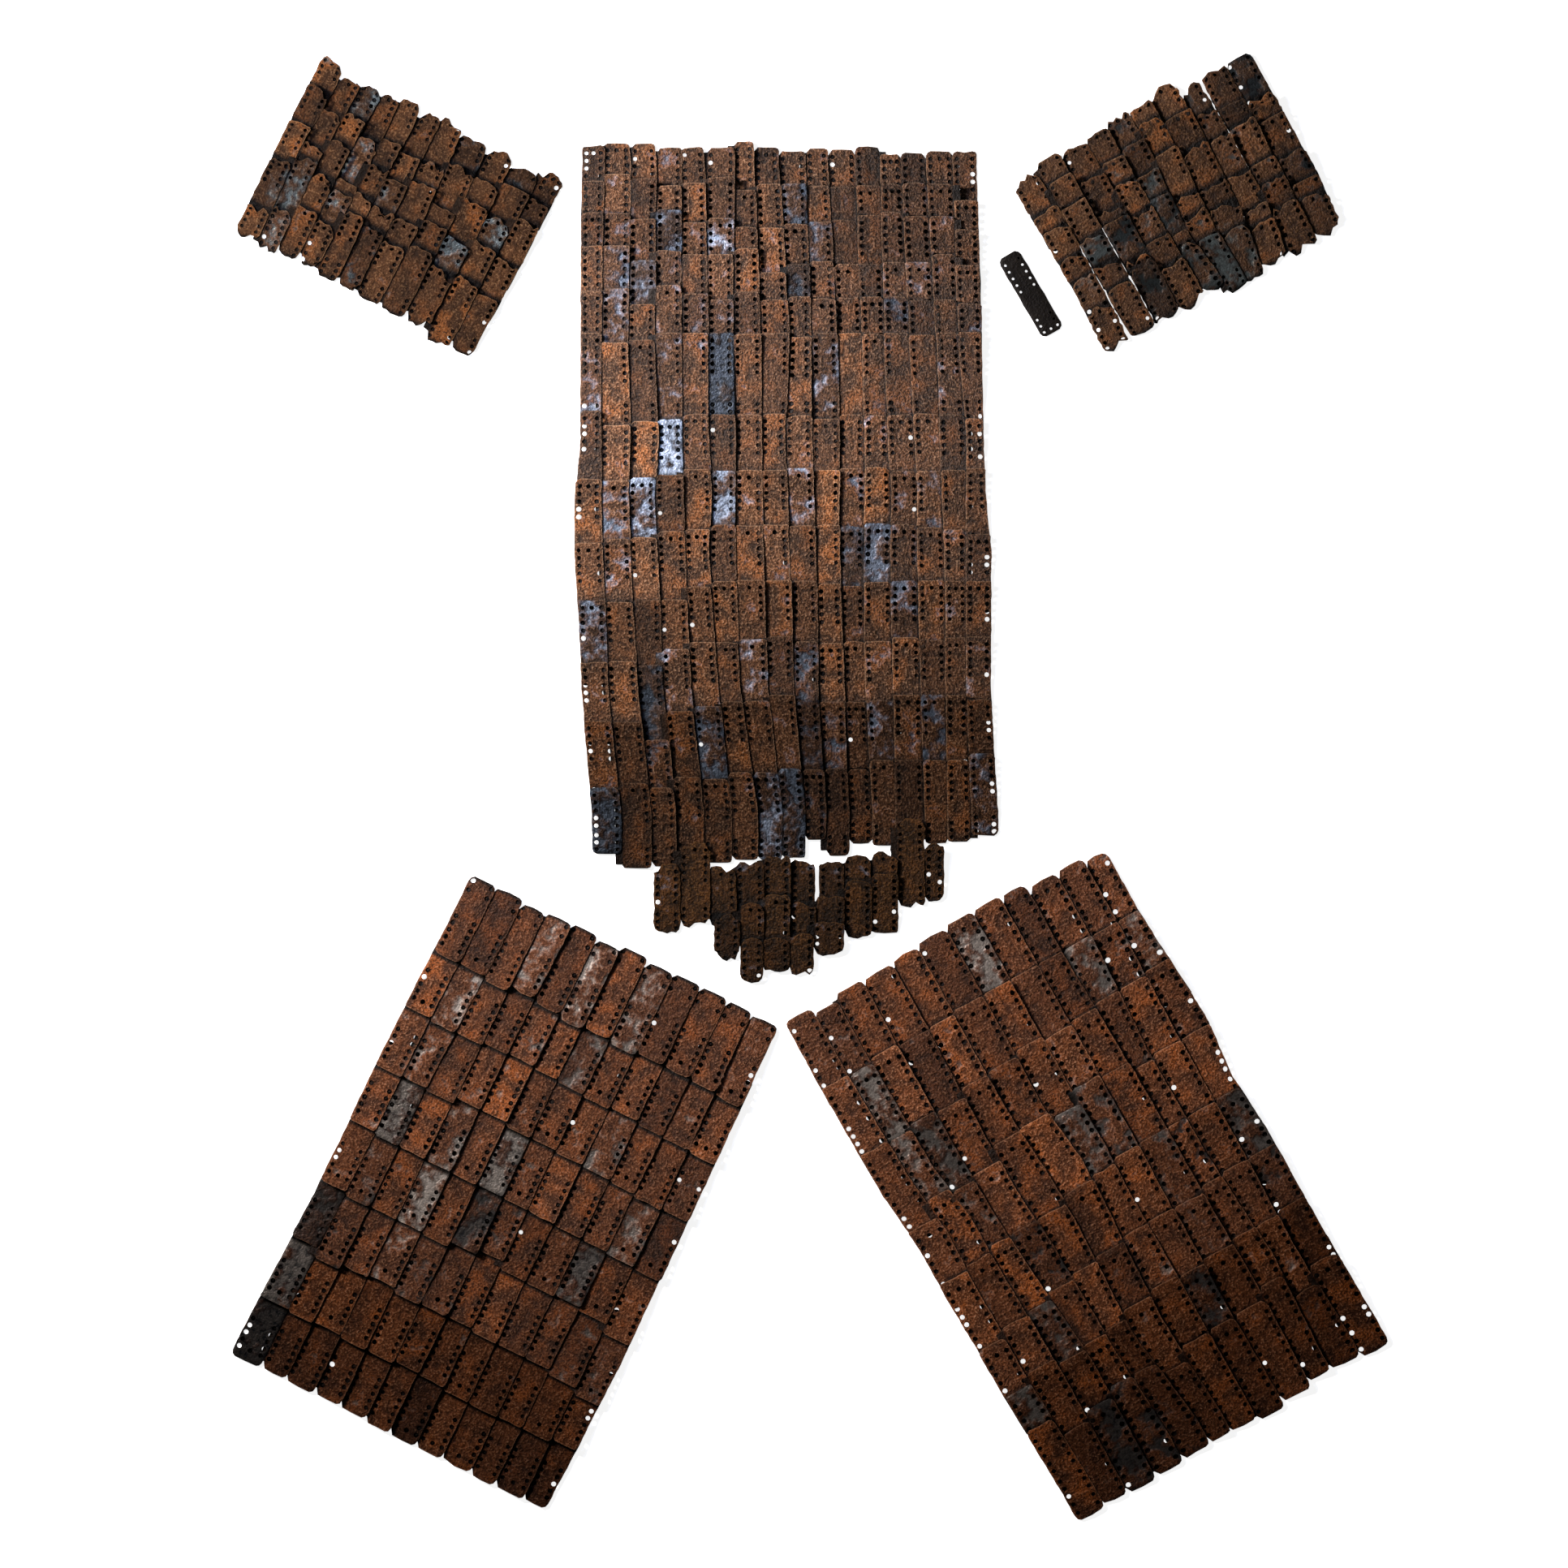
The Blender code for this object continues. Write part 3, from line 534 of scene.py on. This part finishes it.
def add_lamella(strip, under_it, over_it, number, dice, piece, layers):
    """Makes one lamella of a row and adds it to the row's mesh."""
    panel = strip.panel
    head = strip.heads[number]
    foot = strip.end(number) - head
    left, right = strip.edge(number, head), strip.edge(number + 1, head)
    middle = (left + right) / 2
    left_on_top = number > panel.low_column
    right_on_top = number < panel.low_column
    outermost = number in (0, strip.count - 1)
    last = number == strip.count - 1
    sides = (choose_side(dice, left_on_top, number == 0, number in panel.slits, panel.hidden),
             choose_side(dice, right_on_top, last, number + 1 in panel.slits, panel.hidden))
    lap_left, lap_right = sides[0].lap, sides[1].lap
    width = right - left + lap_left + lap_right
    shown = length = foot
    for upper in over_it:
        upper_head = upper.head_over(middle)
        if upper_head is not None and upper_head - head < foot + 6:
            shown = upper_head - head
            length = max(foot, shown + LEAST_COVER)
    places = [place for place in panel.holes if place < shown + 4]
    places += [foot - place for place in panel.tail_holes if foot - place < shown + 4]
    pairs = [(place, chance_of_clog(strip, under_it, middle, head + place, outermost)) for place in places]
    end_holes = [panel.holes[0]] if dice.random() < 0.35 else []
    corners = panel.corners if not under_it or strip.shown_ends else (1.2, 3.8)
    ragged = panel.ragged * dice.choice((0.4, 0.7, 1.0, 1.6))
    made, across, along, level, rim, beneath = forge(
        piece, layers, dice, width, length, sides, pairs, panel.bore, end_holes, shown, panel.crevice, ragged,
        corners)
    share = across / width
    slip = dice.gauss(0, 0.45) + math.radians(dice.gauss(0, 0.6)) * (along - length / 2)
    place_along = head + along
    start = strip.edge(number, place_along) - lap_left
    stop = strip.edge(number + 1, place_along) + lap_right
    place_across = start + share * (stop - start) + numpy.clip(slip, -0.5, 0.5)
    free_end = numpy.abs(along - length) if strip.shown_ends and panel.over > 0 else along
    notch = NOTCH * numpy.clip(1 - free_end / NOTCH_REACH, 0.0, 1.0)
    if number in strip.row.slits:
        place_across = place_across + notch * (1 - share)
    if number + 1 in strip.row.slits:
        place_across = place_across - notch * share
    warp = dice.uniform(0.3, 1.1) if outermost or dice.random() < 0.4 else dice.uniform(1.1, 3.6)
    corner = along / length if dice.random() < 0.5 else 1 - along / length
    warp = warp * (0.2 + 0.8 * corner)
    if right_on_top:
        level = level + LAP_RISE * share + warp * share ** 3
    elif left_on_top:
        level = level + LAP_RISE * (1 - share) + warp * (1 - share) ** 3
    places = strip.places(place_across, place_along, level)
    grey = {column: (amount, sheen) for column, amount, sheen in strip.row.grey}
    amount, sheen = grey.get(number + 1, (dice.uniform(-0.3, 0.22), dice.uniform(0.1, 0.6)))
    # The tone is a random one times the panel's painted light at this depth down the panel
    depth = abs(head) / panel.rows[-1].heads[0]
    looks = Looks(
        tone=max(dice.gauss(1.0, 0.22), 0.45) * float(numpy.interp(depth, (0.0, 0.5, 1.0), panel.tones)),
        bare=amount, sheen=sheen,
        orange=1.0 if number + 1 in strip.row.orange else dice.uniform(-0.25, 0.6))
    # Painted shade, drawn as their shadow: darker where the row above and the neighbours lie over the
    # lamella, in a band before their edges and a wedge beside the seams, and nearly black on its underside
    # and clogged hole floors
    painted_shade_amount = smooth_step(shown - panel.crevice, shown - min(panel.crevice - 2.5, 2.0), along)
    painted_wedge = dice.choice((1.3, 2.2, 4.2)) + dice.uniform(-1.5, 2.5) * (along / length - 0.5)
    if lap_left > 0:
        painted_shade_amount = numpy.maximum(painted_shade_amount, smooth_step(lap_left + painted_wedge, lap_left - 0.4, across))
    if lap_right > 0:
        painted_shade_amount = numpy.maximum(painted_shade_amount, smooth_step(lap_right + painted_wedge, lap_right - 0.4, width - across))
    painted_shade_amount = numpy.maximum(painted_shade_amount, beneath)
    origin = [dice.uniform(-5, 5) for _ in range(3)]
    grain = numpy.column_stack((across, along, level)) * MM + origin
    finish_lamella(made, places, grain, painted_shade_amount, rim, looks, layers)


def finish_lamella(made, places, grain, painted_shade_amount, rim, looks, layers):
    """Puts a lamella's vertices in their places and gives them what the iron's material reads."""
    for vertex, place, texture, cover, edge in zip(made, places, grain, painted_shade_amount, rim):
        vertex.co = place
        vertex[layers["grain"]] = texture
        vertex[layers["cover"]] = cover
        vertex[layers["rim"]] = edge
        vertex[layers["tone"]] = looks.tone
        vertex[layers["bare"]] = looks.bare
        vertex[layers["sheen"]] = looks.sheen
        vertex[layers["orange"]] = looks.orange


def open_piece():
    """An empty mesh with the layers that the iron's material reads."""
    piece = bmesh.new()
    layers = {"grain": piece.verts.layers.float_vector.new("grain")}
    for name in ("cover", "rim", "tone", "bare", "sheen", "orange"):
        layers[name] = piece.verts.layers.float.new(name)
    return piece, layers


def close_piece(piece, name, node, material):
    """Makes the finished mesh an object that stands for its CAD node."""
    bmesh.ops.recalc_face_normals(piece, faces=piece.faces)
    mesh = bpy.data.meshes.new(name)
    piece.to_mesh(mesh)
    piece.free()
    mesh.materials.append(material)
    mesh.shade_smooth()
    mesh.set_sharp_from_angle(angle=math.radians(SHARP_ANGLE))
    item = bpy.data.objects.new(name, mesh)
    bpy.context.scene.collection.objects.link(item)
    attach(item, "root")
    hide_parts(node)


def dress_row(strip, under_it, over_it, seed, material):
    """One laced row: all of its lamellae in one piece."""
    piece, layers = open_piece()
    dice = random.Random(seed)
    for number in range(strip.count):
        add_lamella(strip, under_it, over_it, number, dice, piece, layers)
    close_piece(piece, f"{strip.name}_lamellae", strip.name, material)


def dress_panel(panel, seed, irons):
    """Dresses all rows of a panel. The irons are shared out over its rows from the top."""
    strips = [Strip(panel, row) for row in panel.rows]
    if panel.over < 0:
        strips.reverse()
    for lower, upper in reversed(list(zip(strips, strips[1:]))):
        lower.shorten_for(upper)
    for below, strip in zip(strips, strips[1:]):
        strip.lean_on(below)
    for k, strip in enumerate(strips):
        iron = irons[panel.rows.index(strip.row) * len(irons) // len(strips)]
        dress_row(strip, strips[max(k - 1, 0):k], strips[k + 1:k + 2], seed + k, iron)
    return strips


def dress_skirt(hem, seed, material):
    """The point that hangs under the body's hem: a row in two parts, and two rows below it."""
    left, right, second, third = [Strip(SKIRT, row) for row in SKIRT.rows]
    left.lean_on(hem)
    right.lean_on(hem)
    second.lean_on(left)
    second.lean_on(right)
    third.lean_on(second)
    dress_row(left, [hem], [second], seed, material)
    dress_row(right, [hem], [second], seed + 1, material)
    dress_row(second, [left, right], [third], seed + 2, material)
    dress_row(third, [second], [], seed + 3, material)


def linear_channel(value):
    """One channel of an sRGB colour as a linear value."""
    return value / 12.92 if value <= 0.04045 else ((value + 0.055) / 1.055) ** 2.4


def linear(colour):
    """An sRGB hex colour as the linear values that a shader takes."""
    return (*(linear_channel(int(colour[k:k + 2], 16) / 255) for k in (0, 2, 4)), 1.0)


def add_node(tree, kind, settings, *values, output=None, **named):
    """Adds a node with its settings, and gives the output that it is used for.

    Values fill the node's inputs in order and named ones by name. A value that is a socket is linked.
    """
    node = tree.nodes.new(kind)
    for name, setting in settings.items():
        setattr(node, name, setting)
    inputs = [socket for socket in node.inputs if socket.enabled]
    pairs = list(zip(inputs, values))
    for name, value in named.items():
        pairs.append((next(socket for socket in inputs if socket.name == name.replace("_", " ")), value))
    for socket, value in pairs:
        if isinstance(value, bpy.types.NodeSocket):
            tree.links.new(value, socket)
        else:
            socket.default_value = value
    return next(socket for socket in node.outputs if socket.enabled and output in (None, socket.name))


def buried_wrought_iron(name, rusts, metals, crumbled, relief, shine, gloss=0.0):
    """Forged wrought iron out of the ground, covered in a crust of rust.

    To the eye it is matt brown crumbs over dark pits, fresh orange in clouds, and here and there a slate or
    silvery patch where the crust has come off. Crumbled is how dark the gaps between the crumbs are, relief
    how deep they are, shine how strongly the crust mirrors, and gloss how much smoother it is.
    """
    dark, brown, orange, pale = [linear(colour) for colour in rusts]
    slate, silver = [linear(colour) for colour in metals]
    soot = linear("15171a")
    material = bpy.data.materials.new(name)
    material.use_nodes = True
    tree = material.node_tree
    shader = next(node for node in tree.nodes if node.type == "BSDF_PRINCIPLED")
    node = partial(add_node, tree)
    grain = node("ShaderNodeAttribute", {"attribute_name": "grain"}, output="Vector")
    cover, rim, tone, bare, sheen, orange_share = [
        node("ShaderNodeAttribute", {"attribute_name": layer}, output="Fac")
        for layer in ("cover", "rim", "tone", "bare", "sheen", "orange")]
    plus, minus, times = [{"operation": operation} for operation in ("ADD", "SUBTRACT", "MULTIPLY")]
    greater = {"operation": "MAXIMUM"}
    soft = {"interpolation_type": "SMOOTHSTEP"}
    blend = {"data_type": "RGBA"}
    flat = {"noise_dimensions": "2D"}

    # Clouds of fresh and old rust are about as wide as a lamella, and flakes are 6 mm. A crumb of 1 mm would
    # be one pixel of the picture and too fine to show, so crumbs are drawn 2.3 mm wide.
    cloud = node("ShaderNodeTexNoise", flat, Vector=grain, Scale=1 / (24 * MM), Detail=2, Roughness=0.5)
    flake = node("ShaderNodeTexNoise", flat, Vector=grain, Scale=1 / (6 * MM), Detail=4, Roughness=0.6)
    crust = node("ShaderNodeTexNoise", flat, Vector=grain, Scale=1 / (2.3 * MM), Detail=3, Roughness=0.6)

    # Nearly black between the crumbs and the flakes
    gaps = node("ShaderNodeMapRange", soft, crust, 0.56, 0.36)
    gaps = node("ShaderNodeMath", times, gaps, crumbled)
    rust = node("ShaderNodeMix", blend, gaps, brown, dark)
    splits = node("ShaderNodeMapRange", soft, flake, 0.5, 0.34)
    splits = node("ShaderNodeMath", times, splits, 0.75 * crumbled)
    rust = node("ShaderNodeMix", blend, splits, rust, dark)

    # Orange where the rust is fresh, and stained dark where it is oldest
    bright = node("ShaderNodeMath", times, orange_share, 0.16)
    fresh = node("ShaderNodeMath", plus, cloud, bright)
    fresh = node("ShaderNodeMapRange", soft, fresh, 0.51, 0.79)
    crumb_tops = node("ShaderNodeMapRange", soft, crust, 0.34, 0.56)
    fresh = node("ShaderNodeMath", times, fresh, crumb_tops)
    rust = node("ShaderNodeMix", blend, fresh, rust, orange)
    unstained = node("ShaderNodeMath", times, orange_share, 0.08)
    stain = node("ShaderNodeMath", minus, cloud, unstained)
    stain = node("ShaderNodeMapRange", soft, stain, 0.48, 0.30)
    stain = node("ShaderNodeMath", times, stain, 0.5)
    rust = node("ShaderNodeMix", blend, stain, rust, dark)

    # Pale on the highest crumbs and along the rims: partly pale rust and worn edges, partly a painted
    # highlight where the light catches them
    high = node("ShaderNodeMapRange", soft, crust, 0.5, 0.68)
    flat_flakes = node("ShaderNodeMapRange", soft, flake, 0.36, 0.6)
    pale_and_painted_highlight = node("ShaderNodeMath", times, high, flat_flakes)
    worn_and_highlit_rim = node("ShaderNodeMath", times, rim, 0.8)
    pale_and_painted_highlight = node("ShaderNodeMath", greater, pale_and_painted_highlight, worn_and_highlit_rim)
    pale_and_painted_highlight = node("ShaderNodeMath", times, pale_and_painted_highlight, 0.7)
    rust = node("ShaderNodeMix", blend, pale_and_painted_highlight, rust, pale)

    # Bare metal in patches: slate where it is dull, silvery where it was rubbed
    wide = node("ShaderNodeMath", times, cloud, 0.78)
    narrow = node("ShaderNodeMath", times, flake, 0.22)
    patches = node("ShaderNodeMath", plus, wide, narrow)
    laid_bare = node("ShaderNodeMath", times, bare, 0.29)
    need = node("ShaderNodeMath", minus, 0.70, laid_bare)
    patches = node("ShaderNodeMath", minus, patches, need)
    patches = node("ShaderNodeMapRange", soft, patches, -0.08, 0.18)
    wide = node("ShaderNodeMath", times, cloud, 0.5)
    narrow = node("ShaderNodeMath", times, flake, 0.5)
    rubbed = node("ShaderNodeMath", plus, narrow, wide)
    rubbed = node("ShaderNodeMapRange", soft, rubbed, 0.34, 0.66)
    rubbed = node("ShaderNodeMath", times, sheen, rubbed)
    dents = node("ShaderNodeMapRange", soft, flake, 0.55, 0.35)
    metal = node("ShaderNodeMix", blend, dents, slate, soot)
    metal = node("ShaderNodeMix", blend, rubbed, metal, silver)
    pits = node("ShaderNodeMapRange", soft, crust, 0.46, 0.36)
    pits = node("ShaderNodeMath", times, pits, 0.4)
    metal = node("ShaderNodeMix", blend, pits, metal, soot)
    colour = node("ShaderNodeMix", blend, patches, rust, metal)

    # Painted shade: the colour is darkened nearly to black along the seams, under the row above, on the
    # undersides and in clogged holes, and scaled by the tone, which holds the panel's painted light
    painted_darkening = node("ShaderNodeMath", times, cover, 0.95)
    unshaded = node("ShaderNodeMath", minus, 1.0, painted_darkening)
    shade = node("ShaderNodeMath", times, tone, unshaded)
    tinted = node("ShaderNodeVectorMath", {"operation": "SCALE"}, colour, Scale=shade)
    tree.links.new(tinted, shader.inputs["Base Color"])

    # Rust is a rough crust and mirrors little. Bare metal is smoother, and so are the tops of the crumbs.
    smoother = node("ShaderNodeMath", times, patches, 0.18)
    roughness = node("ShaderNodeMath", minus, 0.68 - gloss, smoother)
    polished = node("ShaderNodeMapRange", soft, crust, 0.45, 0.65)
    polished = node("ShaderNodeMath", times, polished, 0.16)
    roughness = node("ShaderNodeMath", minus, roughness, polished)
    tree.links.new(roughness, shader.inputs["Roughness"])
    shader.inputs["Specular IOR Level"].default_value = shine
    metallic = node("ShaderNodeMath", times, patches, 0.6)
    tree.links.new(metallic, shader.inputs["Metallic"])

    # Both layers of the crust stand out in relief, and bare patches are flatter
    flattened = node("ShaderNodeMath", times, patches, 1.3)
    depth = node("ShaderNodeMath", minus, 1.9, flattened)
    crumbs = node("ShaderNodeMath", times, crust, depth)
    flattened = node("ShaderNodeMath", times, patches, 2.4)
    depth = node("ShaderNodeMath", minus, 3.0, flattened)
    flakes = node("ShaderNodeMath", times, flake, depth)
    height = node("ShaderNodeMath", plus, flakes, crumbs)
    bumps = node("ShaderNodeBump", {}, Height=height, Strength=1.0, Distance=relief * MM)
    tree.links.new(bumps, shader.inputs["Normal"])
    return material


def dress_loose_lamella(material):
    """The plate that lies by itself: five holes down each side, three across the end and two pairs more."""
    dice = random.Random(90)
    piece, layers = open_piece()
    places = [9, 17, 25, 33, 41, LOOSE_LENGTH - 20, LOOSE_LENGTH - 12.5, LOOSE_LENGTH - 5]
    made, across, along, level, rim, beneath = forge(
        piece, layers, dice, LOOSE_WIDTH, LOOSE_LENGTH, (Side(0.0, True), Side(0.0, True)),
        [(place, 0.1) for place in places], 1.5, [LOOSE_LENGTH - 5], LOOSE_LENGTH, 0.0, 0.3, (5.0, 7.0))
    turn = -math.radians(LOOSE_TURN)
    x = along - LOOSE_LENGTH / 2
    y = across - LOOSE_WIDTH / 2
    places = numpy.column_stack((
        LOOSE_PLACE[0] - MIDDLE[0] + x * math.cos(turn) - y * math.sin(turn),
        LOOSE_PLACE[1] - MIDDLE[1] + x * math.sin(turn) + y * math.cos(turn),
        numpy.maximum(level, 0.0))) * MM
    looks = Looks(tone=1.0, bare=0.5, sheen=0.3, orange=0.0)
    grain = numpy.column_stack((across, along, level)) * MM
    # Its underside and clogged hole floors are darkened as painted shade
    finish_lamella(made, places, grain, beneath * 0.6, rim, looks, layers)
    close_piece(piece, "loose_lamella_plate", "loose_lamella", material)


def main():
    bluish = ("39414b", "99a5b8")
    neutral = ("3a3634", "a69c93")
    greenish = ("2c3133", "6e7674")

    # The body's iron is drawn as lit and shaded copies, one for each band of rows from the top, that differ
    # only
    # in how strongly they mirror: most over the middle rows and least at the bottom, as painted light
    # falloff.
    body_irons = [
        buried_wrought_iron(f"body_wrought_iron_{k}", ("150d06", "653f23", "8a5023", "a48062"), bluish,
                            0.65, 1.45, shine)
        for k, shine in enumerate((0.4, 0.5, 0.5, 0.36, 0.22, 0.1), 1)]
    strips = dress_panel(BODY, 100, body_irons)
    dress_skirt(strips[-1], 150, buried_wrought_iron(
        "skirt_wrought_iron", ("0e0903", "3f260f", "5a3512", "674624"), bluish, 0.6, 1.0, 0.12))
    # The thighs' iron is drawn as lit and shaded copies, one for each band of rows from the top, that mirror
    # less and less downwards, as painted light falloff
    thigh_irons = [
        buried_wrought_iron(f"thigh_wrought_iron_{k}", ("1a0c05", "68391c", "8c4819", "a07254"), neutral,
                            0.5, 0.95, shine)
        for k, shine in enumerate((0.22, 0.19, 0.13, 0.05), 1)]
    dress_panel(THIGH_LEFT, 200, thigh_irons)
    dress_panel(THIGH_RIGHT, 300, thigh_irons)
    # The two shoulders' irons are lit and shaded copies that differ only in how strongly they mirror: painted
    # light
    left_iron, right_iron = [
        buried_wrought_iron(f"shoulder_wrought_iron_{side}", ("140b05", "56371f", "80491f", "8a6746"),
                            greenish, 0.4, 0.7, shine)
        for side, shine in (("left", 0.07), ("right", 0.2))]
    dress_panel(SHOULDER_LEFT, 400, [left_iron])
    dress_panel(SHOULDER_RIGHT, 500, [right_iron])
    dress_loose_lamella(buried_wrought_iron(
        "loose_wrought_iron", ("0b0806", "17120e", "1f1812", "241f19"), ("191715", "45423d"), 0.5, 0.3, 0.14,
        gloss=0.04))


main()

# The photo's frame is this wide and its middle lies here, in metres. The sensor is in millimetres.
FRAME_WIDTH = 1.642
FRAME_MIDDLE = (-0.0274, 0.0028)
CAMERA_HEIGHT = 5.0
SENSOR = 36.0
# The floor reaches so far that low views don't show its end, and lies just under the plates
FLOOR_REACH = 30.0
FLOOR_LEVEL = -0.0002


def add_floor():
    """A matt white board. It glows, so that it is as evenly bright as in the photo."""
    made = bmesh.new()
    bmesh.ops.create_grid(made, x_segments=1, y_segments=1, size=FLOOR_REACH)
    mesh = bpy.data.meshes.new("floor")
    made.to_mesh(mesh)
    made.free()
    material = bpy.data.materials.new("white_board")
    material.use_nodes = True
    shader = next(node for node in material.node_tree.nodes if node.type == "BSDF_PRINCIPLED")
    shader.inputs["Base Color"].default_value = linear("f4f4f4")
    shader.inputs["Roughness"].default_value = 0.9
    shader.inputs["Specular IOR Level"].default_value = 0.1
    shader.inputs["Emission Color"].default_value = linear("ffffff")
    shader.inputs["Emission Strength"].default_value = 0.86
    mesh.materials.append(material)
    floor = bpy.data.objects.new("floor", mesh)
    floor.location.z = FLOOR_LEVEL
    bpy.context.scene.collection.objects.link(floor)


def add_lamp(name, place, target, size, power, colour):
    lamp = bpy.data.lights.new(name, "AREA")
    lamp.shape = "DISK"
    lamp.size = size
    lamp.energy = power
    lamp.color = linear(colour)[:3]
    item = bpy.data.objects.new(name, lamp)
    item.location = place
    direction = [target[k] - place[k] for k in range(3)]
    item.rotation_euler = Vector(direction).to_track_quat("-Z", "Y").to_euler()
    bpy.context.scene.collection.objects.link(item)


def add_camera():
    """A camera straight above, as in the photo."""
    camera = bpy.data.cameras.new("camera")
    camera.sensor_width = SENSOR
    camera.lens = SENSOR * CAMERA_HEIGHT / FRAME_WIDTH
    item = bpy.data.objects.new("camera", camera)
    item.location = (*FRAME_MIDDLE, CAMERA_HEIGHT)
    bpy.context.scene.collection.objects.link(item)
    bpy.context.scene.camera = item


def light_scene():
    """A nearly white lamp at the upper left, a weak bluish one over the body's top, and a dim surround."""
    world = bpy.data.worlds.new("studio")
    world.use_nodes = True
    background = next(node for node in world.node_tree.nodes if node.type == "BACKGROUND")
    background.inputs["Color"].default_value = linear("ffffff")
    background.inputs["Strength"].default_value = 0.04
    bpy.context.scene.world = world
    bpy.context.scene.view_settings.view_transform = "Standard"
    add_lamp("cool", (-0.75, 0.8, 0.85), (-0.25, 0.42, 0), 0.3, 8, "c4d4ff")
    add_lamp("key", (-1.85, 0.95, 1.25), (-0.1, 0.0, 0), 0.4, 114, "fff6ee")


add_floor()
add_camera()
light_scene()
